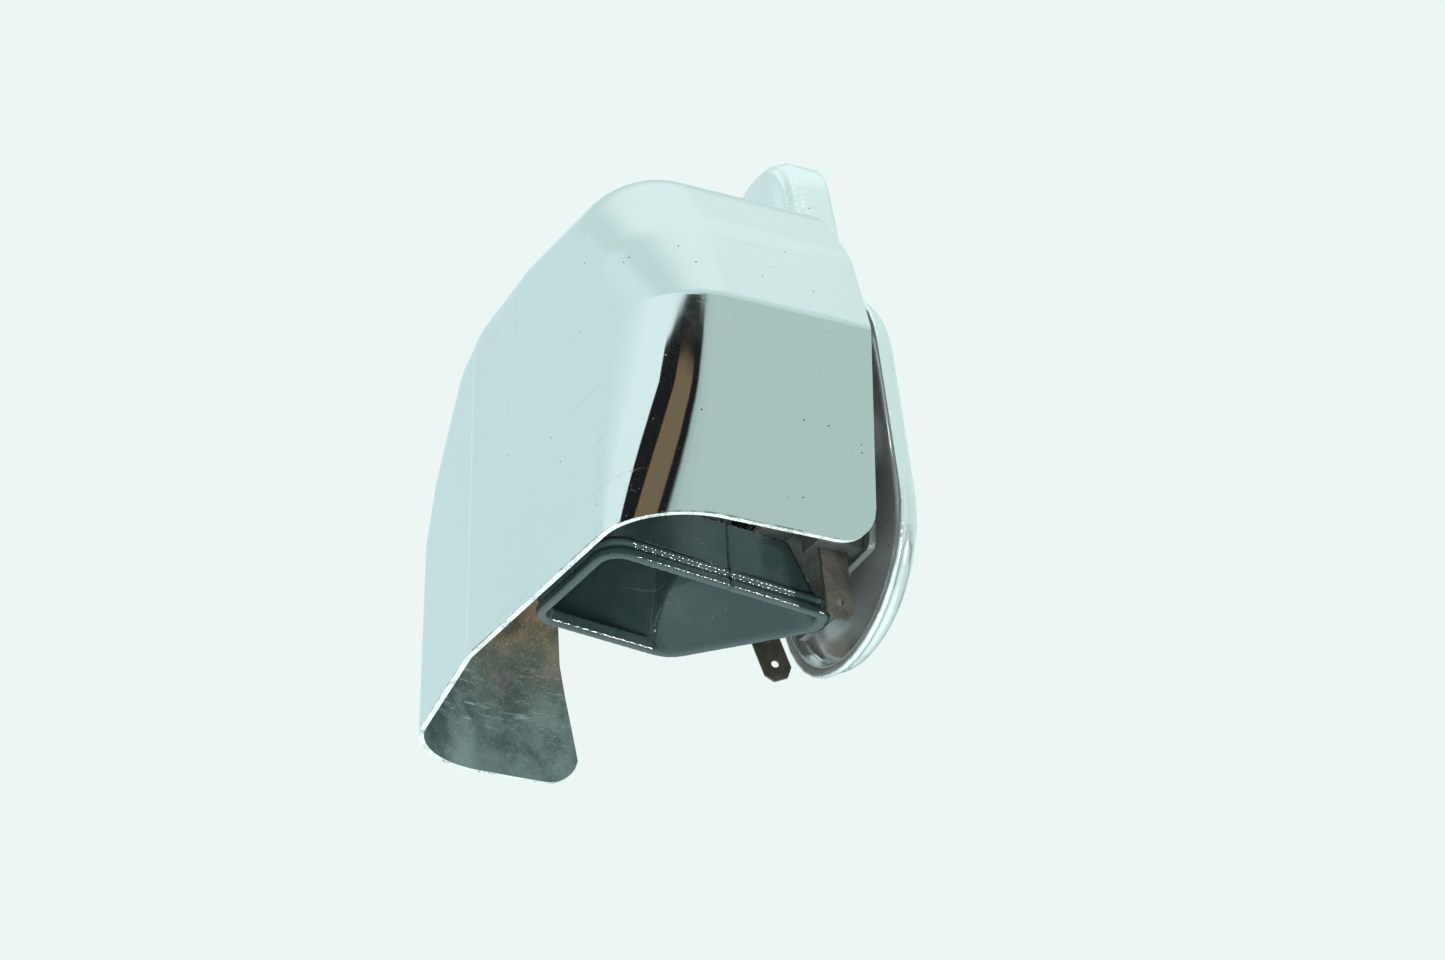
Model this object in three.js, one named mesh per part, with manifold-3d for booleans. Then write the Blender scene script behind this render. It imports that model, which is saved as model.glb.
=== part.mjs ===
// Chrome-hooded electric trumpet horn on a pressed bracket.
// Units are millimetres, +Z is up and the hood's front faces -Y.
// Shapes are drawn in the hood's own space (mouth plane at z = 0, open back at y = 0),
// then one group moves everything so that the origin lies at the back of the bracket's bolt sleeve.
import * as THREE from 'three';
import { ConvexGeometry } from 'three/addons/geometries/ConvexGeometry.js';
import { mergeVertices } from 'three/addons/utils/BufferGeometryUtils.js';
import Module from 'manifold-3d';

const wasm = await Module();
wasm.setup();

// ---- driving dimensions ----
const SHEET = 1.2; // hood sheet
const HALF = 72.2; // half the hood's width at the mouth
const DEPTH = 53.6; // front to open back at the mouth
const CROWN = 95; // mouth to crown
const WALL_TOP = 51; // straight part of the side walls
const LEAN = 0.02; // the front leans back by this much for each mm of height
const BEND = 19; // bend between the front and the walls, shoulders and crown
const CREASE_X = -13.8; // foot of the crease in the front
const CREASE_LEAN = 0.03; // the crease walks outwards as it rises
const FACET = 0.162; // fall of the facet beside the crease
const CORNER = 9; // rounded lower back corners of the side walls
const GAP = 0.3; // clearance between pieces that rest on each other

const HORN_X = 23.1; // horn axis, parallel to Y
const HORN_Z = 51;
const CAN_R = 26;
const CAN_FRONT = -9.4; // front face of the pan's rim
const CAN_BACK = 10.4;
const SKIN = 1.1;
const RIM_R = 32.4;
const BOLT_CIRCLE = 29.2;
const RIM_BOLTS = 6;
const ADJ_X = HORN_X - 17.5; // adjusting screw
const ADJ_Z = HORN_Z + 6;
const DIAMOND = [20.5, 15.2];
const TERM_A = [43.8, 5.3, 10, 0.12, 0]; // x, y, z, lean back, turn
const TERM_B = [6.8, 6.9, 10.4, 0.36, -0.25];
const RIVET_UP = 10.4; // block rivet above the blade's middle
const GASKET = 1.2;

const YAW = 0.1735; // the trumpet is turned a little about Z
const LIP_X = 37.45; // rear corner of the trumpet's lip
const LIP_Y = 6.4;
const MOUTH_W = 36.6;
const MOUTH_L = 49.5;
const SEAM_Y = -18; // joint between the trumpet's two shells
const SHELL = 1.4;
const SNAIL_R = 25;
const SNAIL_FRONT = -40.5;

const DISH_X = 29.2; // centre of the bracket's lower round end
const DISH_Z = 20.5;
const DISH_R = 26.5;
const DISH_SPAN = 38; // between the two centres of the dish
const DISH_FRONT = 14.4;
const DISH_BACK = 21;
const TILT = 0.2; // the bracket leans towards -X as it rises
const PAD_R = 15.5;
const PAD_TOP = 88.5; // centre of the pad's round end above the lower centre
const PAD_STEP = 10.4; // the pad's rim stands this far in front of the dish's
const PAD_BACK = 15.9;
const PAD_FRONT = DISH_FRONT - PAD_STEP;
const PLATE = 1.6; // bracket sheet
const STUD_AT = 31; // stud hole above the lower centre
const MOUNT_AT = 76; // mounting hole above the lower centre

// ---- finishes ----
const finish = (color, roughness, metalness) =>
  new THREE.MeshStandardMaterial({ color, roughness, metalness });
const CHROME = finish(0xc9d8da, 0.06, 1);
const ZINC = finish(0x8f938f, 0.42, 1);
const BARE = finish(0x6f665a, 0.5, 1);
const BLACK = finish(0x14181a, 0.22, 0);
const PHENOLIC = finish(0x3a2a1e, 0.6, 0);
const COPPER = finish(0x8a4a22, 0.35, 1);
const RUBBER = finish(0x1b1c1c, 0.8, 0);
const SPRING = finish(0x9a9688, 0.35, 1);

// ---- solids ----
function solid(geometry) {
  const bare = geometry.clone();
  for (const name of Object.keys(bare.attributes)) {
    if (name !== 'position') bare.deleteAttribute(name);
  }
  const merged = mergeVertices(bare, 1e-4);
  const vertProperties = new Float32Array(merged.attributes.position.array);
  const triVerts = new Uint32Array(merged.index.array);
  return new wasm.Manifold(new wasm.Mesh({ numProp: 3, vertProperties, triVerts }));
}

function geometryOf(shape) {
  const mesh = shape.getMesh();
  const geometry = new THREE.BufferGeometry();
  const positions = new THREE.BufferAttribute(new Float32Array(mesh.vertProperties), 3);
  geometry.setAttribute('position', positions);
  geometry.setIndex(new THREE.BufferAttribute(new Uint32Array(mesh.triVerts), 1));
  geometry.computeVertexNormals();
  return geometry;
}

const box = (x0, x1, y0, y1, z0, z1) => {
  const geometry = new THREE.BoxGeometry(x1 - x0, y1 - y0, z1 - z0);
  return solid(geometry.translate((x0 + x1) / 2, (y0 + y1) / 2, (z0 + z1) / 2));
};

// a cylinder or cone along Y from y0 to y1
const rodY = (r0, r1, y0, y1, x, z, sides = 32) => {
  const geometry = new THREE.CylinderGeometry(r1, r0, y1 - y0, sides);
  return solid(geometry.translate(x, (y0 + y1) / 2, z));
};

// turned shape about the Y axis, profile given as [radius, y] and closed on itself
const turnedY = (profile, x, z, sides = 40) => {
  const points = profile.map(([r, y]) => new THREE.Vector2(r, y));
  points.push(points[0].clone());
  const geometry = new THREE.LatheGeometry(points, sides);
  const body = solid(geometry);
  return (body.volume() < 0 ? solid(flipped(geometry)) : body).translate([x, 0, z]);
};

function flipped(geometry) {
  const copy = geometry.clone();
  const index = copy.index.array;
  for (let i = 0; i < index.length; i += 3) {
    const keep = index[i];
    index[i] = index[i + 1];
    index[i + 1] = keep;
  }
  return copy;
}

// rounded polygon, optionally drawn inwards by a margin; corners as [x, y, radius]
function rounded(corners, margin = 0, steps = 6) {
  const n = corners.length;
  const pts = corners.map(([x, y]) => new THREE.Vector2(x, y));
  const area = pts.reduce((sum, p, i) => sum + p.cross(pts[(i + 1) % n]), 0);
  const side = area > 0 ? 1 : -1;
  const line = (i) => {
    const dir = pts[(i + 1) % n].clone().sub(pts[i]).normalize();
    const base = pts[i].clone().add(new THREE.Vector2(-dir.y, dir.x).multiplyScalar(side * margin));
    return { base, dir };
  };
  const shape = [];
  for (let i = 0; i < n; i += 1) {
    const a = line((i + n - 1) % n);
    const b = line(i);
    const t = b.base.clone().sub(a.base).cross(b.dir) / a.dir.cross(b.dir);
    const corner = a.base.clone().addScaledVector(a.dir, t);
    const turn = a.dir.cross(b.dir) * side;
    const radius = Math.max(corners[i][2] - Math.sign(turn) * margin, 0.05);
    const half = Math.acos(THREE.MathUtils.clamp(a.dir.dot(b.dir), -1, 1)) / 2;
    const reach = radius * Math.tan(half);
    const start = corner.clone().addScaledVector(a.dir, -reach);
    const normal = new THREE.Vector2(-a.dir.y, a.dir.x).multiplyScalar(Math.sign(turn) * side);
    const centre = start.clone().addScaledVector(normal, radius);
    const from = start.clone().sub(centre);
    const count = corners[i][2] > 0 ? steps : 1;
    for (let k = 0; k <= count; k += 1) {
      const angle = (Math.sign(turn) * side * 2 * half * k) / count;
      shape.push(from.clone().rotateAround(new THREE.Vector2(), angle).add(centre));
    }
  }
  return new THREE.Shape(side > 0 ? shape : shape.reverse());
}

// outline in X-Z pushed along Y from y0 to y1
const slabY = (shape, y0, y1, options = {}) => {
  const settings = { depth: y1 - y0, bevelEnabled: false, ...options };
  const geometry = new THREE.ExtrudeGeometry(shape, settings);
  geometry.rotateX(Math.PI / 2);
  return solid(geometry.translate(0, y1, 0));
};

const hull = (points) => solid(new ConvexGeometry(points.map((p) => new THREE.Vector3(...p))));

const parts = [];
const add = (name, body, material) => {
  const mesh = new THREE.Mesh(geometryOf(body), material);
  mesh.name = name;
  parts.push(mesh);
  return mesh;
};

// ---- hood: a convex pressing, hollow, open at the mouth and the back ----
function hoodSolid(inset, back) {
  const low = -24;
  const points = [];
  const depthAt = (x, z) => {
    const creaseX = CREASE_X - CREASE_LEAN * z;
    return DEPTH - LEAN * z - Math.max(0, creaseX - x) * FACET - inset;
  };
  const round = BEND - inset;
  const rings = 7;
  for (let i = 0; i <= rings; i += 1) {
    const angle = (Math.PI / 2) * (i / rings);
    const shrink = round * (1 - Math.cos(angle));
    const outline = rounded([
      [-HALF, low, 0],
      [HALF, low, 0],
      [HALF, WALL_TOP, 6],
      [HALF - 8, WALL_TOP + 21, 24],
      [HALF - 25, CROWN - 1, 24],
      [6, CROWN, 0],
      [37 - HALF, CROWN - 5, 24],
      [11 - HALF, WALL_TOP + 18, 24],
      [-HALF, WALL_TOP, 6],
    ], inset + shrink, 6).getPoints(1);
    for (const p of outline) {
      points.push([p.x, -(depthAt(p.x, p.y) - round + round * Math.sin(angle)), p.y]);
      if (i === 0) points.push([p.x, back, p.y]);
    }
  }
  for (const z of [low + BEND, CROWN - BEND - 2]) {
    const x = CREASE_X - CREASE_LEAN * z;
    points.push([x, -depthAt(x, z), z]);
  }
  return hull(points);
}

function hood() {
  const low = 40;
  let body = hoodSolid(0, 0).subtract(hoodSolid(SHEET, 20));
  body = body.subtract(box(-90, 90, -90, 90, -low, 0));
  // lower back corners of both side walls are cut to a radius
  const square = box(-90, 90, -CORNER, 1, -1, CORNER);
  const arc = new THREE.CylinderGeometry(CORNER, CORNER, 200, 48).rotateZ(Math.PI / 2);
  const corner = square.subtract(solid(arc.translate(0, -CORNER, CORNER)));
  // the left wall's back edge is scalloped forward
  const scallop = hull([[-90, -12], [-48, 0.4]].flatMap(([x, y]) => [
    [x, 0.4, 3], [x, y, 42], [x, 0.4, 84], [x, 5, 84], [x, 5, 3],
  ]));
  return body.subtract(corner).subtract(scallop);
}
add('hood', hood(), CHROME);

// ---- hanger: a ring under the pan's rim with an arm to the hood's crown ----
const RIM_BACK = CAN_FRONT + 1.4;
const HANGER = 1.5;
function hoodHanger() {
  const y0 = RIM_BACK + GAP;
  const y1 = y0 + HANGER;
  const crown = CROWN - 3.2 - SHEET - GAP;
  let body = turnedY([
    [CAN_R + 0.5, y0], [RIM_R, y0], [RIM_R, y1], [CAN_R + 0.5, y1],
  ], HORN_X, HORN_Z, 48);
  body = body.add(box(HORN_X - 10, HORN_X + 10, y0, y1, HORN_Z + CAN_R + 2, crown));
  body = body.add(box(HORN_X - 10, HORN_X + 10, y0, -1, crown - HANGER, crown));
  for (const [x, z] of rimPositions()) {
    body = body.subtract(rodY(1.8, 1.8, y0 - 1, y1 + 1, x, z, 16));
  }
  return body;
}
add('hood_hanger', hoodHanger(), ZINC);

// ---- plate behind the pan, with ears for the terminals ----
const STRAP_BACK = CAN_BACK + GAP + 1.5;
function terminalPlate() {
  const y0 = CAN_BACK + GAP;
  const outline = rounded([
    [-1, 13.5, 2], [13, 13.5, 2], [17, 3.6, 2], [32.5, 3.2, 2.5], [39, 11, 1], [50, 12, 2],
    [50, 24, 4], [HORN_X + 15, HORN_Z - 8, 8], [HORN_X + 12, HORN_Z + 13, 8],
    [HORN_X - 12, HORN_Z + 13, 8], [HORN_X - 13, HORN_Z - 8, 8], [-1, 26, 4],
  ]);
  let body = slabY(outline, y0, STRAP_BACK);
  // diamond-shaped hole in the middle ear
  const [dx, dz] = DIAMOND;
  const diamond = rounded([
    [dx, dz - 2.8, 0.4], [dx + 2.4, dz, 0.4], [dx, dz + 2.8, 0.4], [dx - 2.4, dz, 0.4],
  ]);
  body = body.subtract(slabY(diamond, y0 - 1, STRAP_BACK + 1));
  body = body.subtract(rodY(4.4, 4.4, y0 - 1, STRAP_BACK + 1, HORN_X, HORN_Z));
  for (const [x, z] of [[TERM_A[0], TERM_A[2] + RIVET_UP], [TERM_B[0], TERM_B[2] + RIVET_UP]]) {
    body = body.subtract(rodY(1.5, 1.5, y0 - 1, STRAP_BACK + 1, x, z, 16));
  }
  return body;
}
add('terminal_plate', terminalPlate(), ZINC);

// ---- trumpet: mouth, bell and coiled housing in two shells ----
const cosYaw = Math.cos(YAW);
const sinYaw = Math.sin(YAW);
const mouthPoint = (u, v) => [
  LIP_X + u * cosYaw - v * sinYaw,
  LIP_Y + u * sinYaw + v * cosYaw,
];

function mouthOutline(margin, extra = 0) {
  return rounded([
    [0, -MOUTH_L - 6.5, 5], [0, 1, 2.5], [-6, 3.6, 4],
    [-MOUTH_W, -14.4, 6], [-MOUTH_W, -MOUTH_L, 5],
  ].map(([u, v, r]) => [...mouthPoint(u, v - (v < -20 ? 0 : extra)), r]), margin, 4);
}

const ringAt = (shape, z) => shape.getPoints(1).map((p) => [p.x, p.y, z]);

function bell(margin, low) {
  // the mouth flares below the pan, then the bell rises in front of it
  const upper = rounded([
    [4, -46, 6], [40, -46, 6], [38, -13.6, 4], [6, -13.6, 4],
  ], margin, 4);
  const flare = hull([
    ...ringAt(mouthOutline(margin), low),
    ...ringAt(mouthOutline(margin + 1.2, 8.5), 15.8 - margin),
  ]);
  const riser = hull([
    ...ringAt(rounded([
      [4, -46.5, 6], [42, -46.5, 6], [38, -13.6, 4], [4, -18, 4],
    ], margin + 0.4, 4), 3),
    ...ringAt(upper, 50 - margin * 4),
  ]);
  return flare.add(riser);
}

function trumpet() {
  const lipRing = hull([...ringAt(mouthOutline(-0.7), 0), ...ringAt(mouthOutline(-0.7), 2)]);
  const groove = hull([...ringAt(mouthOutline(-0.5), 3.2), ...ringAt(mouthOutline(-0.5), 4.2)]);
  const back = CAN_FRONT - GASKET - 2 * GAP;
  const snail = turnedY([
    [0, SNAIL_FRONT + 3], [SNAIL_R - 12, SNAIL_FRONT], [SNAIL_R - 4, SNAIL_FRONT + 3],
    [SNAIL_R, SNAIL_FRONT + 9], [SNAIL_R, back - 3], [RIM_R, back - 3], [RIM_R, back], [0, back],
  ], HORN_X, HORN_Z, 48);
  let body = bell(0, 0).add(lipRing).add(groove).add(snail);
  body = body.subtract(bell(SHELL, -1));
  // coiled duct and the throat over the diaphragm
  const duct = turnedY([
    [9, -36], [19, -36], [22, -33], [22, -18], [9, -18],
  ], HORN_X, HORN_Z, 40);
  const throat = rodY(6, 6, -30, back + 1, HORN_X, HORN_Z, 24);
  const slot = box(HORN_X, HORN_X + 14, -30, -20, HORN_Z - 5, HORN_Z + 5);
  const chamber = rodY(24.4, 24.4, back - 1.6, back + 1, HORN_X, HORN_Z, 48);
  body = body.subtract(duct).subtract(throat).subtract(slot).subtract(chamber);
  for (const [x, z] of rimPositions()) {
    body = body.subtract(rodY(1.8, 1.8, back - 10, back + 1, x, z, 16));
    body = body.subtract(rodY(3.4, 3.4, back - 26, back - 3, x, z, 16));
  }
  return body;
}

function rimPositions() {
  return Array.from({ length: RIM_BOLTS }, (_, i) => {
    const angle = (Math.PI / 3) * i + Math.PI / 6;
    return [HORN_X + BOLT_CIRCLE * Math.cos(angle), HORN_Z + BOLT_CIRCLE * Math.sin(angle)];
  });
}

const trumpetBody = trumpet();
const ahead = box(-120, 120, -120, SEAM_Y - GAP / 2, -40, 140);
const behind = box(-120, 120, SEAM_Y + GAP / 2, 60, -40, 140);
const largest = (shape) => shape.decompose().sort((a, b) => b.volume() - a.volume())[0];
add('trumpet_front_shell', largest(trumpetBody.intersect(ahead)), BLACK);
add('trumpet_rear_shell', largest(trumpetBody.intersect(behind)), BLACK);

// ---- pan, gasket and diaphragm ----
const panBack = CAN_BACK - SKIN;
let pan = turnedY([
  [CAN_R - SKIN, CAN_FRONT], [RIM_R, CAN_FRONT], [RIM_R, CAN_FRONT + 1.4],
  [CAN_R, CAN_FRONT + 1.4], [CAN_R, CAN_BACK - 4], [CAN_R - 4, CAN_BACK], [4.3, CAN_BACK],
  [4.3, panBack], [CAN_R - 4.4, panBack], [CAN_R - SKIN, CAN_BACK - 4.4],
], HORN_X, HORN_Z, 48);
for (const [x, z] of rimPositions()) {
  pan = pan.subtract(rodY(1.8, 1.8, CAN_FRONT - 1, CAN_FRONT + 3, x, z, 16));
}
pan = pan.subtract(rodY(2.3, 2.3, panBack - 2, CAN_BACK + 1, ADJ_X, ADJ_Z, 20));
add('horn_pan', pan, ZINC);

let gasket = turnedY([
  [CAN_R - 0.8, CAN_FRONT - GAP - GASKET], [RIM_R - 0.3, CAN_FRONT - GAP - GASKET],
  [RIM_R - 0.3, CAN_FRONT - GAP], [CAN_R - 0.8, CAN_FRONT - GAP],
], HORN_X, HORN_Z, 48);
for (const [x, z] of rimPositions()) {
  gasket = gasket.subtract(rodY(1.8, 1.8, -20, 0, x, z, 16));
}
add('gasket', gasket, PHENOLIC);

const DIA_Y = CAN_FRONT - GAP - 0.9;
const diaphragm = turnedY([
  [3.2, DIA_Y], [12, DIA_Y], [14, DIA_Y + 0.3], [CAN_R - 1.6, DIA_Y + 0.3],
  [CAN_R - 1.6, DIA_Y + 0.8], [14, DIA_Y + 0.8], [12, DIA_Y + 0.5], [3.2, DIA_Y + 0.5],
], HORN_X, HORN_Z, 36);
add('diaphragm', diaphragm, SPRING);

// ---- armature, core and coil ----
const ARM_Y = 1.2; // front face of the contact arm
const armature = turnedY([
  [0, DIA_Y - 4], [2.4, DIA_Y - 4], [2.4, DIA_Y + 0.8], [9, DIA_Y + 0.8],
  [9, DIA_Y + 4.4], [0, DIA_Y + 4.4],
], HORN_X, HORN_Z, 32);
// a tongue with a pusher pin works the contact arm
const tongue = hull([[ADJ_X - 1.6, ADJ_Z - 1.6], [ADJ_X - 1.6, ADJ_Z + 1.6],
  [HORN_X - 4, HORN_Z - 3], [HORN_X - 4, HORN_Z + 3]].flatMap(([x, z]) => [
  [x, DIA_Y + 2, z], [x, DIA_Y + 3.2, z],
]));
const pusher = rodY(0.8, 0.8, DIA_Y + 3, ARM_Y - 0.15, ADJ_X, ADJ_Z, 16);
add('armature', armature.add(tongue).add(pusher), BARE);
const nutY = (y0, y1, across, bore, x, z) => {
  const body = rodY(across / Math.sqrt(3), across / Math.sqrt(3), y0, y1, x, z, 6);
  return body.subtract(rodY(bore, bore, y0 - 1, y1 + 1, x, z, 20));
};
add('armature_nut', nutY(DIA_Y - 3.4, DIA_Y - 0.2, 8, 2.6, HORN_X, HORN_Z), ZINC);

const CORE_Y = DIA_Y + 6.2;
const core = turnedY([
  [0, CORE_Y], [6.4, CORE_Y], [6.4, panBack - 2.2], [12, panBack - 2.2], [12, panBack - GAP],
  [4.3, panBack - GAP], [4.3, panBack - 4], [0, panBack - 4],
], HORN_X, HORN_Z, 32);
add('pole_core', core, BARE);
const B0 = CORE_Y + 0.4;
const B1 = panBack - 2.6;
add('coil_bobbin', turnedY([
  [6.8, B0], [13, B0], [13, B0 + 1], [7.8, B0 + 1], [7.8, B1 - 1], [13, B1 - 1],
  [13, B1], [6.8, B1],
], HORN_X, HORN_Z, 32), PHENOLIC);
add('coil_winding', turnedY([
  [8.1, B0 + 1.3], [12.4, B0 + 1.3], [12.4, B1 - 1.3], [8.1, B1 - 1.3],
], HORN_X, HORN_Z, 32), COPPER);

// ---- breaker contacts and their adjusting screw ----
const arm = slabY(rounded([
  [ADJ_X - 3, ADJ_Z - 4, 1], [ADJ_X + 3, ADJ_Z - 4, 1], [ADJ_X + 3, ADJ_Z + 8, 2],
  [ADJ_X - 3, ADJ_Z + 8, 2],
]), ARM_Y, ARM_Y + 0.6);
add('contact_arm', arm, COPPER);
add('moving_contact', rodY(1.6, 1.6, ARM_Y - 1.3, ARM_Y - GAP, ADJ_X, ADJ_Z + 5.6, 20), SPRING);
add('fixed_contact', rodY(1.6, 1.6, ARM_Y - 3.1, ARM_Y - 1.9, ADJ_X, ADJ_Z + 5.6, 20), SPRING);
const post = box(ADJ_X - 3, ADJ_X + 3, ARM_Y - 5.2, ARM_Y - 3.4, ADJ_Z - 10, ADJ_Z + 8);
const postFoot = box(ADJ_X - 3, ADJ_X + 3, ARM_Y - 5.2, panBack - GAP, ADJ_Z - 12, ADJ_Z - 9);
const pinHole = rodY(1.3, 1.3, ARM_Y - 6, ARM_Y - 3, ADJ_X, ADJ_Z, 16);
add('contact_post', post.add(postFoot).subtract(pinHole), PHENOLIC);
add('adjusting_screw', rodY(1.9, 1.9, ARM_Y + 1.4, CAN_BACK + 2.4, ADJ_X, ADJ_Z, 20)
  .add(rodY(3.4, 3.4, CAN_BACK + 2, CAN_BACK + 3.6, ADJ_X, ADJ_Z, 20))
  .subtract(box(ADJ_X - 4, ADJ_X + 4, CAN_BACK + 2.8, CAN_BACK + 4, ADJ_Z - 0.45, ADJ_Z + 0.45)),
SPRING);
add('adjusting_nut', nutY(panBack - 3.4, panBack - 0.8, 6, 2.2, ADJ_X, ADJ_Z), ZINC);

// ---- terminals: two bare blades in insulating blocks on the strap's ears ----
function blade(grow) {
  const shape = rounded([
    [-3.15 - grow, 9 + grow, 0], [3.15 + grow, 9 + grow, 0], [3.15 + grow, -11, 0.3],
    [1.6, -13, 0.3], [-1.6, -13, 0.3], [-3.15 - grow, -11, 0.3],
  ], 0, 2);
  if (grow === 0) shape.holes.push(new THREE.Path().absarc(0, -9.2, 0.9, 0, Math.PI * 2, true));
  const depth = 0.8 + 2 * grow;
  const geometry = new THREE.ExtrudeGeometry(shape, { depth, bevelEnabled: false, curveSegments: 12 });
  // the outline lies in X-Y: stand it up with its broad faces across X
  return geometry.translate(0, 0, -depth / 2).rotateX(Math.PI / 2).rotateZ(Math.PI / 2);
}
const place = (geometry, [x, y, z, back, turn]) =>
  solid(geometry.rotateX(back).rotateZ(turn).translate(x, y, z));
function terminal(name, spot) {
  const [x, y, z] = spot;
  const block = box(x - 3.6, x + 3.6, y - 5.6, CAN_BACK, z + 2.4, z + 12.4)
    .subtract(place(blade(0.25), spot))
    .subtract(rodY(1.3, 1.3, CAN_BACK - 2.4, CAN_BACK + 1, x, z + RIVET_UP, 16));
  add(`${name}_block`, block, PHENOLIC);
  add(name, place(blade(0), spot), BARE);
  const rivet = rodY(1.1, 1.1, CAN_BACK - 2, STRAP_BACK + 1, x, z + RIVET_UP, 16)
    .add(rodY(2.2, 1.7, STRAP_BACK + GAP, STRAP_BACK + 1.2, x, z + RIVET_UP, 16));
  add(`${name}_rivet`, rivet, BARE);
}
terminal('terminal_a', TERM_A);
terminal('terminal_b', TERM_B);

// ---- rim bolts and nuts ----
const SHELL_FACE = CAN_FRONT - GASKET - 2 * GAP - 3;
const NUT_FACE = RIM_BACK + HANGER + 2 * GAP;
rimPositions().forEach(([x, z], i) => {
  const head = rodY(2.7, 2.7, SHELL_FACE - GAP - 2, SHELL_FACE - GAP, x, z, 6);
  const shank = rodY(1.45, 1.45, SHELL_FACE - GAP - 1, NUT_FACE + 3.2, x, z, 16);
  add(`rim_bolt_${i + 1}`, head.add(shank), ZINC);
  add(`rim_nut_${i + 1}`, nutY(NUT_FACE, NUT_FACE + 2.4, 5.5, 1.75, x, z), ZINC);
});

// ---- stud, washers and nut ----
const DISH_FLOOR = DISH_BACK - PLATE;
add('stud', rodY(3.95, 3.95, panBack - 3.6, DISH_BACK + 9.5, HORN_X, HORN_Z, 24), ZINC);
add('spacer', turnedY([
  [4.25, STRAP_BACK + GAP], [8, STRAP_BACK + GAP], [8, DISH_FLOOR - GAP], [4.25, DISH_FLOOR - GAP],
], HORN_X, HORN_Z, 32), ZINC);
add('lock_washer', turnedY([
  [4.25, DISH_BACK + GAP], [7.2, DISH_BACK + GAP], [7.2, DISH_BACK + 1.9], [4.25, DISH_BACK + 1.9],
], HORN_X, HORN_Z, 32), ZINC);
add('stud_nut', nutY(DISH_BACK + 2.2, DISH_BACK + 8, 13, 4.25, HORN_X, HORN_Z), ZINC);

// ---- pressed bracket: deep round-ended dish below, narrow pad above ----
// drawn upright about the dish's lower centre, then leaned by TILT
const dishOutline = (margin) => rounded([
  [-DISH_R, -DISH_R, DISH_R - 0.2], [DISH_R, -DISH_R, DISH_R - 0.2],
  [DISH_R, DISH_SPAN + DISH_R, DISH_R - 0.2], [-DISH_R, DISH_SPAN + DISH_R, DISH_R - 0.2],
], margin, 9);
const padOutline = (margin) => rounded([
  [-PAD_R - 4, DISH_SPAN + 8, 4], [PAD_R + 4, DISH_SPAN + 8, 4],
  [PAD_R, PAD_TOP + PAD_R, PAD_R - 0.2], [-PAD_R, PAD_TOP + PAD_R, PAD_R - 0.2],
], margin, 7);
function pressed(outline, inset, front, back, bendRadius = 4.6) {
  // nested outlines give the pressing a rounded back edge
  const steps = 4;
  const round = bendRadius - inset;
  let body = null;
  for (let i = 0; i < steps; i += 1) {
    const shrink = round * (1 - Math.cos((Math.PI / 2) * ((i + 0.5) / steps)));
    const y1 = back - inset - round + round * Math.sin((Math.PI / 2) * ((i + 1) / steps));
    const slab = slabY(outline(inset + shrink), front, y1);
    body = body ? body.add(slab) : slab;
  }
  return body;
}
// the pad is pressed the other way, closed in front and open behind
const padPressed = (inset, back) =>
  pressed(padOutline, inset, -back, -PAD_FRONT, 6.2).mirror([0, 1, 0]);
function bracket() {
  let body = pressed(dishOutline, 0, DISH_FRONT, DISH_BACK);
  body = body.add(slabY(dishOutline(-1.2), DISH_FRONT, DISH_FRONT + 1.6));
  body = body.add(padPressed(0, PAD_BACK));
  // the pad's hollow stops at a wall that follows the dish's round end
  const hollow = padPressed(PLATE, PAD_BACK + 1);
  body = body.subtract(hollow.subtract(slabY(dishOutline(-1.7), 0, 40)));
  body = body.subtract(pressed(dishOutline, PLATE, DISH_FRONT - 1, DISH_BACK));
  // nothing of the pad hangs in front of the dish's opening
  body = body.subtract(slabY(dishOutline(PLATE), 0, DISH_FRONT));
  body = body.subtract(rodY(4.3, 4.3, 0, 40, 0, STUD_AT, 32));
  body = body.subtract(rodY(5.8, 5.8, 0, 40, 0, MOUNT_AT, 32));
  return body.rotate([0, (-TILT * 180) / Math.PI, 0]).translate([DISH_X, 0, DISH_Z]);
}
add('mounting_bracket', bracket(), CHROME);

const alongX = (v) => DISH_X - v * Math.sin(TILT);
const alongZ = (v) => DISH_Z + v * Math.cos(TILT);
add('grommet', turnedY([
  [4.6, PAD_FRONT - 2.4], [7.6, PAD_FRONT - 2.4], [7.6, PAD_FRONT - GAP],
  [5.5, PAD_FRONT - GAP], [5.5, PAD_FRONT + PLATE + GAP], [7.6, PAD_FRONT + PLATE + GAP],
  [7.6, PAD_FRONT + PLATE + 2.4], [4.6, PAD_FRONT + PLATE + 2.4],
], alongX(MOUNT_AT), alongZ(MOUNT_AT), 32), RUBBER);
add('grommet_sleeve', turnedY([
  [3.2, PAD_FRONT - 2.8], [4.3, PAD_FRONT - 2.8], [4.3, PAD_BACK + 3.4], [3.2, PAD_BACK + 3.4],
], alongX(MOUNT_AT), alongZ(MOUNT_AT), 32), ZINC);

// ---- the whole horn, moved so that the origin lies at the back end of the bolt sleeve ----
const group = new THREE.Group();
group.add(...parts);
group.position.set(-alongX(MOUNT_AT), -(PAD_BACK + 3.4), -alongZ(MOUNT_AT));
group.updateMatrixWorld(true);

export default group;
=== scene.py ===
"""Chrome-hooded electric trumpet horn on its pressed bracket, dressed for rendering."""

import logging
import math
from dataclasses import dataclass, field
from enum import Enum
from typing import Any, ClassVar

import bmesh
import bpy
from mathutils import Matrix, Vector


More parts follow.
